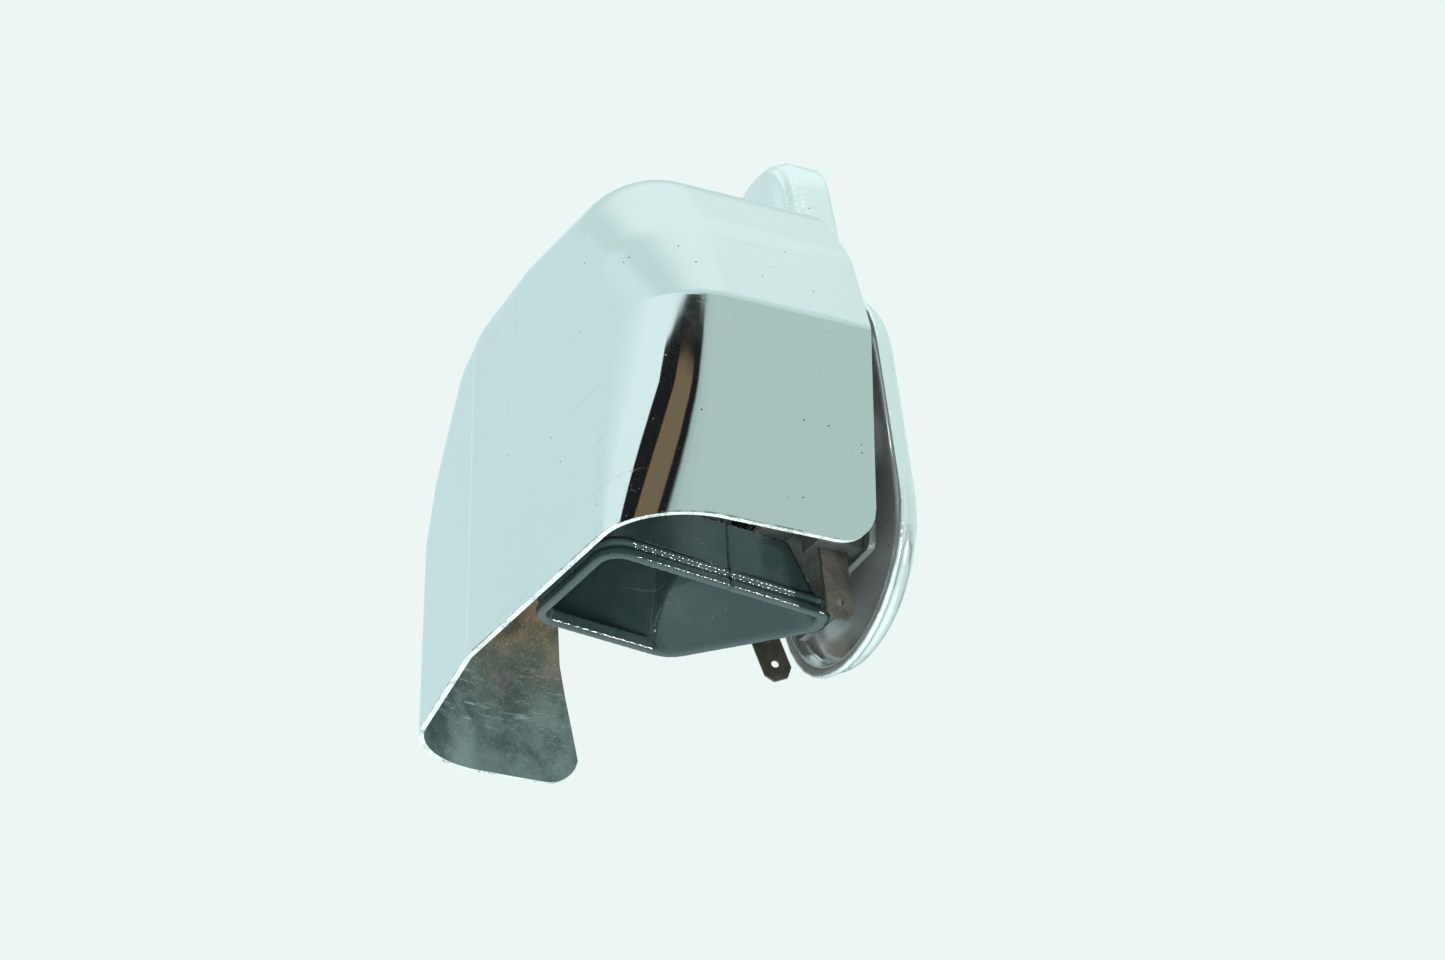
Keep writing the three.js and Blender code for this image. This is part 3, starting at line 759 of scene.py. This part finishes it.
@dataclass
class Hood:
    """Pressed hood: an open-backed, open-mouthed shell with one creased facet.

    Lengths are in millimetres, from the middle of the mouth's back edge.
    """

    BELOW: ClassVar[float] = -40.0  # where the outline's upright runs start
    SMALLEST: ClassVar[float] = 0.05  # least radius of a corner
    WIDE: ClassVar[float] = 10.0  # a corner of a larger radius gets more steps
    STEPS: ClassVar[tuple[int, int]] = (4, 12)  # steps round a tight and a wide corner
    OUTSIDE: ClassVar[int] = 0
    INSIDE: ClassVar[int] = 1
    EDGE: ClassVar[int] = 2

    sheet: float = 1.2
    half: float = 72.2
    depth: float = 53.6
    crown: float = 95.0
    wall_top: float = 51.0
    lean: float = 0.02
    bend: float = 19.0
    crease_x: float = -13.8
    facet: float = 0.162
    corner: float = 9.0
    near_wall: float = 3.0
    scallop: float = 6.74
    scallop_x: Span = (48.0, 72.2)
    scallop_z: Span = (3.0, 84.0)
    scallop_power: float = 1.3
    slack: float = 0.72
    tight: float = 2.6
    tight_z: Span = (46.0, 72.0)
    bend_steps: int = 20
    wall_steps: tuple[float, ...] = (0.0, 0.03, 0.12, 0.35, 0.65)
    rises: tuple[float, ...] = (0.0, 0.12, 0.5, 1.1, 2.0, 3.2, 4.7, 6.6, 9.0, 14.0, 22.0, 30.0)
    origin: Vector = field(default_factory=Vector)
    crease_index: int = field(default=0, init=False)

    def __post_init__(self) -> None:
        """Takes the hood's place from its CAD node."""
        low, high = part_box("hood")
        self.origin = Vector((high[0] - self.half * MM, high[1], low[2]))

    def corners(self) -> list[tuple[float, float, float]]:
        """The outline's corners in X-Z with their radii, from right foot to left foot."""
        half, top, crown = self.half, self.wall_top, self.crown
        return [
            (half, self.BELOW, 0.0), (half, top, 6.0), (half - 8, top + 21, 24.0),
            (half - 25, crown - 1, 24.0), (6.0, crown, 0.0), (37 - half, crown - 5, 24.0),
            (11 - half, top + 18, 24.0), (-half, top, 6.0), (-half, self.BELOW, 0.0),
        ]

    def arc(
        self, corner: Vector, along: Vector, turn: float, radius: float, steps: int
    ) -> list[Spot]:
        """Points round one corner of the outline.

        Args:
            corner: The sharp corner.
            along: Direction of the run that comes to it.
            turn: The corner's turn in radians.
            radius: Its radius.
            steps: Steps round it.

        Returns:
            The points.
        """
        outward = Vector((along.y, -along.x))
        centre = corner - along * radius * math.tan(turn / 2)
        centre -= outward * radius
        points = []
        for k in range(steps + 1):
            angle = turn * k / steps
            ray = Vector((
                outward.x * math.cos(angle) - outward.y * math.sin(angle),
                outward.x * math.sin(angle) + outward.y * math.cos(angle),
            ))
            spot = centre + ray * radius
            points.append((spot.x, spot.y, ray.x, ray.y))
        return points

    def path(self, margin: float) -> list[Spot]:
        """The outline drawn inwards by a margin.

        Args:
            margin: Distance inwards in millimetres.

        Returns:
            The points, right foot first.
        """
        corners = self.corners()
        spots = [Vector(c[:2]) for c in corners]
        runs = []
        for first, second in zip(spots, spots[1:]):
            along = (second - first).normalized()
            inward = Vector((-along.y, along.x))
            runs.append((first + inward * margin, along))
        points = [(self.half - margin, rise, 1.0, 0.0) for rise in self.rises]
        for (_, _, wanted), (start, along), (end, onward) in zip(corners[1:], runs, runs[1:]):
            step = end - start
            spread = along.x * onward.y - along.y * onward.x
            corner = start + along * ((step.x * onward.y - step.y * onward.x) / spread)
            turn = math.acos(max(-1.0, min(1.0, along.dot(onward))))
            radius = max(wanted - margin, self.SMALLEST)
            points += self.arc(corner, along, turn, radius, self.STEPS[wanted > self.WIDE])
        points += [(margin - self.half, rise, -1.0, 0.0) for rise in reversed(self.rises)]
        return self._with_crease(points)

    def _with_crease(self, points: list[Spot]) -> list[Spot]:
        """Adds the point where the outline meets the crease.

        Args:
            points: The outline's points.

        Returns:
            The points with one more, exactly on the crease.
        """
        for i in range(len(self.rises), len(points) - 1):
            gaps = [p[0] - self.crease_at(p[1]) for p in points[i:i + 2]]
            if gaps[0] > 0 >= gaps[1]:
                t = gaps[0] / (gaps[0] - gaps[1])
                spot = tuple(a + (b - a) * t for a, b in zip(points[i], points[i + 1]))
                self.crease_index = i + 1
                return points[:i + 1] + [spot] + points[i + 1:]
        return points

    def crease_at(self, z: float) -> float:
        """The crease's place at a height.

        Args:
            z: The height.

        Returns:
            Its x.
        """
        return self.crease_x - CREASE_LEAN * z

    def depth_at(self, x: float, z: float) -> float:
        """Depth of the front from the open back.

        Args:
            x: The point's place across.
            z: Its height.

        Returns:
            The depth, less on the facet.
        """
        fall = max(0.0, self.crease_at(z) - x) * self.facet
        return self.depth - self.lean * z - fall

    def front_normal(self, left: bool) -> Vector:
        """Outward normal of the front.

        Args:
            left: Whether it is wanted on the facet, left of the crease.

        Returns:
            The normal.
        """
        if left:
            slope = self.lean - CREASE_LEAN * self.facet
            return Vector((-self.facet, -1.0, slope)).normalized()
        return Vector((0.0, -1.0, self.lean)).normalized()

    def back_edge(self, x: float, z: float) -> float:
        """Where a wall ends at the back, with its rounded foot and the left scallop.

        Args:
            x: The point's place across.
            z: Its height.

        Returns:
            The edge's y.
        """
        y = 0.0
        if z < self.corner and abs(x) > self.half - self.near_wall:
            y = -self.corner + math.sqrt(max(0.0, self.corner**2 - (self.corner - z) ** 2))
        (near, far), (low, high) = self.scallop_x, self.scallop_z
        if -x > near and low < z < high:
            reach = min(1.0, (-x - near) / (far - near))
            swell = math.sin(math.pi * (z - low) / (high - low)) ** self.scallop_power
            y = min(y, -self.scallop * reach * swell)
        return y

    def turned(self, angle: float, point: Spot) -> float:
        """The way the sheet faces part-way round its bend.

        The right-hand bend is slack at the mouth's end and tightens as it rises.

        Args:
            angle: How far round the bend the point is, 0 at the wall.
            point: The point.

        Returns:
            The facing angle, 0 square to the wall.
        """
        x, z, side, _ = point
        if x < 0 or side < 0.5:
            return angle
        full, gone = self.tight_z
        rise = min(1.0, max(0.0, z / full))
        fade = min(1.0, max(0.0, (gone - z) / (gone - full)))
        power = math.exp(math.log(self.slack) * (1 - rise) + math.log(self.tight) * rise * fade)
        return QUARTER - QUARTER * (1 - angle / QUARTER) ** power

    def skin(self, inset: float) -> tuple[list[list[Vector]], list[list[tuple[float, Vector]]]]:
        """Rows of points from the open back round the bend to the front.

        Args:
            inset: 0 for the outside, the sheet's thickness for the inside.

        Returns:
            The rows, and each point's bend angle with its outline normal.
        """
        rows: list[list[Vector]] = []
        turns: list[list[tuple[float, Vector]]] = []
        bend = self.bend - inset
        foot = self.path(inset)
        for share in self.wall_steps:
            row = []
            for x, z, _, _ in foot:
                back = self.back_edge(x, z)
                front = -(self.depth_at(x, z) - inset - bend)
                row.append(Vector((x, back + (front - back) * share, z)))
            rows.append(row)
            turns.append([(0.0, Vector((p[2], 0.0, p[3]))) for p in foot])
        for i in range(self.bend_steps + 1):
            angle = QUARTER * i / self.bend_steps
            ring = self.path(inset + bend * (1 - math.cos(angle)))
            rise = bend * math.sin(angle)
            rows.append([
                Vector((x, -(self.depth_at(x, z) - inset - bend + rise), z))
                for x, z, _, _ in ring
            ])
            turns.append([(self.turned(angle, p), Vector((p[2], 0.0, p[3]))) for p in ring])
        return rows, turns

    def add_shell(self, sheet: Sheet, inset: float, sign: float) -> Side:
        """Adds one side of the sheet.

        Args:
            sheet: The mesh being gathered.
            inset: How far the side lies in from the outside.
            sign: 1 for the outside, -1 for the inside.

        Returns:
            The side.
        """
        rows, turns = self.skin(inset)
        numbers = []
        for row, turn in zip(rows, turns):
            numbers.append(list(range(len(sheet.points), len(sheet.points) + len(row))))
            sheet.points += row
            sheet.facing += turn
        crease_foot = len(sheet.points)
        sheet.points.append(Vector((self.crease_at(0.0), -(self.depth - inset), 0.0)))
        sheet.facing.append((QUARTER, Vector()))
        loops = [
            [a[i], a[i + 1], b[i + 1], b[i]]
            for a, b in zip(numbers, numbers[1:])
            for i in range(len(a) - 1)
        ]
        last, k = numbers[-1], self.crease_index
        loops += [[*last[:k + 1], crease_foot], [*last[k:], crease_foot]]
        material = self.OUTSIDE if sign > 0 else self.INSIDE
        for loop in loops:
            sheet.faces.append((loop if sign > 0 else loop[::-1], material, sign))
        return numbers, crease_foot

    def add_edges(self, sheet: Sheet, outer: Side, inner: Side) -> None:
        """Closes the sheet along its mouth and its back.

        Args:
            sheet: The mesh being gathered.
            outer: The outside.
            inner: The inside.
        """
        out, into = [
            [row[0] for row in rows] + [foot] + [row[-1] for row in reversed(rows)]
            for rows, foot in (outer, inner)
        ]
        for i in range(len(out) - 1):
            sheet.faces.append(([out[i], out[i + 1], into[i + 1], into[i]], self.EDGE, 0.0))
        out, into = outer[0][0], inner[0][0]
        for i in range(len(out) - 1):
            sheet.faces.append(([out[i + 1], out[i], into[i], into[i + 1]], self.EDGE, 0.0))

    def mesh(self) -> bpy.types.Mesh:
        """Builds the closed sheet with exact normals.

        Returns:
            The mesh, with the finishes' numbers on its faces.
        """
        sheet = Sheet()
        outer = self.add_shell(sheet, 0.0, 1.0)
        inner = self.add_shell(sheet, self.sheet, -1.0)
        self.add_edges(sheet, outer, inner)
        made = bpy.data.meshes.new("hood_sheet")
        spots = [self.origin + point * MM for point in sheet.points]
        made.from_pydata(spots, [], [loop for loop, _, _ in sheet.faces])
        normals = []
        for polygon, (loop, material, sign) in zip(made.polygons, sheet.faces):
            polygon.material_index = material
            polygon.use_smooth = True
            middle = sum((sheet.points[v] for v in loop), Vector()) / len(loop)
            front = self.front_normal(middle.x < self.crease_at(middle.z))
            for v in loop:
                angle, side = sheet.facing[v]
                smooth = side * math.cos(angle) + front * math.sin(angle)
                normals.append(smooth.normalized() * sign if sign else polygon.normal.copy())
        made.normals_split_custom_set(normals)
        return made

    def build(self) -> None:
        """Makes the hood and dresses it."""
        foot = self.origin.z
        crease = self.origin.x + self.crease_x * MM
        rust_full, rust_none = foot + 42 * MM, foot + 12 * MM
        outside = BrightChrome(
            "bright_chrome", (0.86, 0.9, 0.9), 0.03, 1.0, edge=foot, crease=crease
        )
        inside = DullInside(
            "dull_inside", (0.17, 0.235, 0.225), 0.4, 0.75, crown=rust_full, mouth=rust_none
        )
        finishes: list[Finish] = [outside, inside, CUT_EDGE]
        new_piece("hood_pressing", self.mesh(), finishes, Body.HORN, Slot.CHROME, "hood")


# ---- trumpet, pan and their fasteners ----


@dataclass
class Trumpet:
    """Two-shell black plastic trumpet."""

    shells: tuple[str, ...] = ("trumpet_front_shell", "trumpet_rear_shell")
    voxel: float = 0.4
    rounds: int = 7
    lap: float = 0.55
    level: float = 0.02  # a vertex within this of the seam's plane, in millimetres, is on it

    def lapped(self, mesh: bpy.types.Mesh) -> None:
        """Carries the rear shell's seam face forward into the front shell's rebate.

        Args:
            mesh: A shell's mesh; the front shell's has no face there and stays.
        """
        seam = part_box(self.shells[1])[0][1]
        for vertex in mesh.vertices:
            if abs(vertex.co.y - seam) < self.level * MM:
                vertex.co.y -= self.lap * MM

    def build(self) -> None:
        """Makes both shells with moulded edges."""
        for node in self.shells:
            mesh = cleaned(node, 0.5)
            self.lapped(mesh)
            piece = new_piece(f"{node}_moulding", mesh, [PLASTIC], Body.HORN, Slot.PLASTIC, node)
            flowed(piece, self.voxel, self.rounds)


@dataclass
class Driver:
    """Pan, plates, gasket and the magnet that works the diaphragm."""

    bolts: int = 6

    def build(self) -> None:
        """Makes every piece of the driver."""
        zinc = ("horn_pan", "hood_hanger", "terminal_plate", "spacer", "adjusting_nut")
        for node in zinc:
            copied(node, ZINC, Body.HORN, Slot.ZINC, 0.3)
        copied("gasket", FIBRE, Body.HORN, Slot.PHENOLIC, 0.15)
        copied("pole_core", TARNISH_AND_SHADE, Body.HORN, Slot.BARE, 0.3)
        copied("coil_bobbin", FIBRE, Body.HORN, Slot.PHENOLIC, 0.15)
        copied("coil_winding", WINDING, Body.HORN, Slot.COPPER, 0.3)
        copied("contact_post", FIBRE, Body.HORN, Slot.PHENOLIC, 0.2)
        copied("fixed_contact", SPRING, Body.HORN, Slot.SPRING, 0.15)
        copied("diaphragm", SPRING, Body.MEMBRANE, Slot.SPRING, 0.1)
        copied("armature", TARNISH_AND_SHADE, Body.MEMBRANE, Slot.BARE, 0.2)
        copied("armature_nut", ZINC, Body.MEMBRANE, Slot.ZINC, 0.25)
        copied("contact_arm", LEAF, Body.BREAKER, Slot.COPPER, 0.1)
        copied("moving_contact", SPRING, Body.BREAKER, Slot.SPRING, 0.15)
        copied("adjusting_screw", SPRING, Body.ADJUSTER, Slot.SPRING, 0.2)
        for i in range(1, self.bolts + 1):
            copied(f"rim_bolt_{i}", ZINC, Body.HORN, Slot.ZINC, 0.2)
            copied(f"rim_nut_{i}", ZINC, Body.HORN, Slot.ZINC, 0.2)


@dataclass
class Terminals:
    """Two bare blades in their insulating blocks."""

    names: tuple[str, ...] = ("terminal_a", "terminal_b")

    def build(self) -> None:
        """Makes both blades with their blocks and rivets."""
        for name in self.names:
            copied(name, TARNISH_AND_SHADE, Body.HORN, Slot.BARE, 0.12)
            copied(f"{name}_block", BLOCK, Body.HORN, Slot.PHENOLIC, 0.4)
            copied(f"{name}_rivet", TARNISH_AND_SHADE, Body.HORN, Slot.BARE, 0.2)


@dataclass
class Stud:
    """Threaded stud with its nut and washer."""

    pitch: float = 1.25
    groove: float = 0.62
    crest: float = 1.2  # how flat the thread's crests are
    chamfer: float = 0.75
    around: int = 36
    per_turn: int = 12

    def mesh(self) -> bpy.types.Mesh:
        """Builds the threaded rod between the ends of the CAD stud.

        Returns:
            The mesh.
        """
        low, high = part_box("stud")
        centre = (Vector(low) + Vector(high)) / 2
        radius = (high[0] - low[0]) / 2 / MM
        length = (high[1] - low[1]) / MM
        rings = max(2, round(length / self.pitch * self.per_turn))
        work = bmesh.new()
        rows = []
        for i in range(rings + 1):
            y = length * i / rings
            ends = min(y, length - y)
            row = []
            for k in range(self.around):
                angle = FULL * k / self.around
                phase = (y / self.pitch + k / self.around) % 1.0
                cut = self.groove * (1 - abs(2 * phase - 1) ** self.crest)
                size = radius - max(cut, self.chamfer - ends)
                spot = Vector((size * math.cos(angle), y - length / 2, size * math.sin(angle)))
                row.append(work.verts.new(centre + spot * MM))
            rows.append(row)
        for a, b in zip(rows, rows[1:]):
            for k in range(self.around):
                n = (k + 1) % self.around
                work.faces.new((a[k], b[k], b[n], a[n])).smooth = True
        work.faces.new(rows[0])
        work.faces.new(rows[-1][::-1])
        bmesh.ops.recalc_face_normals(work, faces=work.faces)
        made = bpy.data.meshes.new("threaded_stud")
        work.to_mesh(made)
        work.free()
        return made

    def build(self) -> None:
        """Makes the stud, its nut and its lock washer."""
        new_piece("threaded_stud", self.mesh(), [ZINC], Body.HORN, Slot.ZINC, "stud")
        copied("stud_nut", ZINC, Body.HORN, Slot.ZINC, 0.5)
        copied("lock_washer", ZINC, Body.BRACKET, Slot.ZINC, 0.25)


@dataclass
class Bracket:
    """Pressed and chromed bracket with its rubber bush."""

    voxel: float = 0.4
    rounds: int = 34

    def build(self) -> None:
        """Makes the bracket, its bush and the bush's sleeve."""
        finish = BrightChrome("bracket_chrome", (0.86, 0.91, 0.91), 0.16, 0.9)
        mesh = cleaned("mounting_bracket", 0.5)
        piece = new_piece(
            "bracket_pressing", mesh, [finish], Body.BRACKET, Slot.CHROME, "mounting_bracket"
        )
        flowed(piece, self.voxel, self.rounds)
        copied("grommet", RUBBER, Body.BRACKET, Slot.RUBBER, 0.6)
        copied("grommet_sleeve", ZINC, Body.BRACKET, Slot.ZINC, 0.2)


# ---- studio ----


@dataclass
class Studio:
    """Pale surroundings, soft lights, a floor and the camera."""

    eye: Vector = field(default_factory=lambda: Vector((0.731907, -0.399081, -0.462006)))
    right: Vector = field(default_factory=lambda: Vector((0.451, 0.893, -0.010)))
    ahead: Vector = field(default_factory=lambda: Vector((-0.798, 0.408, 0.444)))
    focal: float = 4200.0
    image_width: float = 1445.0
    sensor: float = 36.0
    clip: Span = (0.01, 50.0)
    floor_at: float = -0.62
    floor_size: float = 6.0
    spread: float = 100.0

    def camera(self) -> None:
        """Places the camera."""
        data = bpy.data.cameras.new("camera")
        data.sensor_width = self.sensor
        data.lens = self.focal / self.image_width * self.sensor
        data.clip_start, data.clip_end = self.clip
        camera = bpy.data.objects.new("camera", data)
        bpy.context.scene.collection.objects.link(camera)
        ahead = self.ahead.normalized()
        right = (self.right - ahead * self.right.dot(ahead)).normalized()
        up = right.cross(ahead)
        turn = Matrix((right, up, -ahead)).transposed().to_4x4()
        camera.matrix_world = Matrix.Translation(self.eye) @ turn
        bpy.context.scene.camera = camera

    def ring(self, board: Board, share: Wire) -> Wire:
        """The pale walls round the studio.

        Args:
            board: The world's node board.
            share: The heading, 0 to 1 once round.

        Returns:
            The wire of the colour.
        """
        shade, pale, bright, green = (
            (0.6, 0.72, 0.7), (0.61, 0.79, 0.79), (0.76, 0.92, 0.93), (0.455, 0.6, 0.565)
        )
        stops = [
            (0.0, shade), (0.14, (0.6, 0.8, 0.82)), (0.33, pale), (0.41, bright), (0.5, bright),
            (0.66, (0.3, 0.39, 0.36)), (0.7, (0.43, 0.57, 0.54)), (0.73, green), (0.9, green),
            (1.0, shade),
        ]
        return board.node("ShaderNodeValToRGB", {"stops": stops}, {0: share})

    def stand(self, board: Board, ray: Wire, share: Wire, height: Wire) -> tuple[Wire, Wire]:
        """A black stand with a round top and a brown panel, which the chrome picks up.

        Args:
            board: The world's node board.
            ray: The direction looked in.
            share: The heading, 0 to 1 once round.
            height: The direction's rise.

        Returns:
            The wires of the stand's mask and of its colour.
        """
        middle, roundness = 0.575, 1.6
        black, rust, olive = (0.012, 0.013, 0.014), (0.2, 0.13, 0.06), (0.15, 0.14, 0.095)
        off = share - middle
        cap = height + off * off * roundness
        mask = board.window(share, (0.488, 0.494), (0.66, 0.68))
        mask = mask * (1.0 - board.between(cap, 0.513, 0.517)) * board.between(height, 0.26, 0.34)
        panel = board.window(share, (0.553, 0.561), (0.638, 0.648))
        panel = panel * (1.0 - board.between(cap, 0.498, 0.503))
        cloud = board.between(board.noise(9.0, 4.0, 0.6, ray), 0.35, 0.7)
        return mask, board.mix(panel, black, board.mix(cloud, rust, olive))

    def surroundings(self) -> None:
        """Makes the pale studio with the darker things that chrome picks up."""
        upper, ceiling, ground = (0.57, 0.75, 0.73), (0.78, 0.93, 0.92), (0.62, 0.68, 0.67)
        dim, backdrop = (0.09, 0.115, 0.115), (0.84, 0.925, 0.905)
        world = bpy.data.worlds.new("studio")
        bpy.context.scene.world = world
        world.use_nodes = True
        board = Board(world.node_tree)
        ray = board.node("ShaderNodeTexCoord", output="Generated")
        wobble = board.noise(2.2, 3.0, 0.5, ray) - 0.5
        x, y, height = [board.node("ShaderNodeSeparateXYZ", {}, {0: ray}, name) for name in "XYZ"]
        heading = board.node("ShaderNodeMath", {"operation": "ARCTAN2"}, {0: x, 1: 0.0 - y})
        share = (heading + wobble * 0.35) / FULL + 0.5
        mask, stand = self.stand(board, ray, share, height)
        seen = board.mix(mask, self.ring(board, share), stand)
        seen = board.mix(board.between(height, 0.55, 0.68), seen, upper)
        seen = board.mix(board.between(height, 0.72, 0.95), seen, ceiling)
        seen = board.mix(1.0 - board.between(height, -0.25, 0.2), seen, ground)
        band = board.window(height, (-0.03, 0.03), (0.1, 0.24))
        seen = board.mix(band * 0.85, seen, dim)
        camera = board.node("ShaderNodeLightPath", output="Is Camera Ray")
        background = world.node_tree.nodes["Background"]
        board.feed(background.inputs["Color"], board.mix(camera, seen, backdrop))
        background.inputs["Strength"].default_value = 1.0

    def light(self, name: str, place: Colour, size: float, power: float, glossy: bool) -> None:
        """Adds one soft light that looks at the part.

        Args:
            name: The light's name.
            place: Where it stands.
            size: Its width in metres.
            power: Its power in watts.
            glossy: Whether mirrors show it.
        """
        data = bpy.data.lights.new(name, "AREA")
        data.shape = "SQUARE"
        data.size = size
        data.energy = power
        data.spread = math.radians(self.spread)
        lamp = bpy.data.objects.new(name, data)
        bpy.context.scene.collection.objects.link(lamp)
        lamp.location = place
        lamp.visible_glossy = glossy
        lamp.rotation_euler = (-Vector(place)).to_track_quat("-Z", "Y").to_euler()

    def floor(self) -> None:
        """Lays a plain pale floor under the part."""
        work = bmesh.new()
        bmesh.ops.create_grid(work, x_segments=1, y_segments=1, size=self.floor_size)
        mesh = bpy.data.meshes.new("floor")
        work.to_mesh(mesh)
        work.free()
        floor = bpy.data.objects.new("floor", mesh)
        floor.location.z = self.floor_at
        bpy.context.scene.collection.objects.link(floor)
        mesh.materials.append(PALE_FLOOR.material())

    def build(self) -> None:
        """Sets up the whole studio."""
        self.camera()
        self.surroundings()
        self.floor()
        self.light("key", (0.5, -0.45, 1.3), 0.7, 12.0, False)
        self.light("side", (1.0, 0.9, -0.25), 0.16, 3.0, True)
        self.light("low", (0.32, -0.3, -0.45), 0.25, 1.5, False)
        bpy.context.scene.view_settings.view_transform = "Standard"
        log.info("studio is set")


def main() -> None:
    """Builds the horn piece by piece."""
    Studio().build()
    for assembly in (Hood(), Trumpet(), Driver(), Terminals(), Stud(), Bracket()):
        assembly.build()
        log.info("%s done", type(assembly).__name__)


if __name__ == "__main__":
    main()
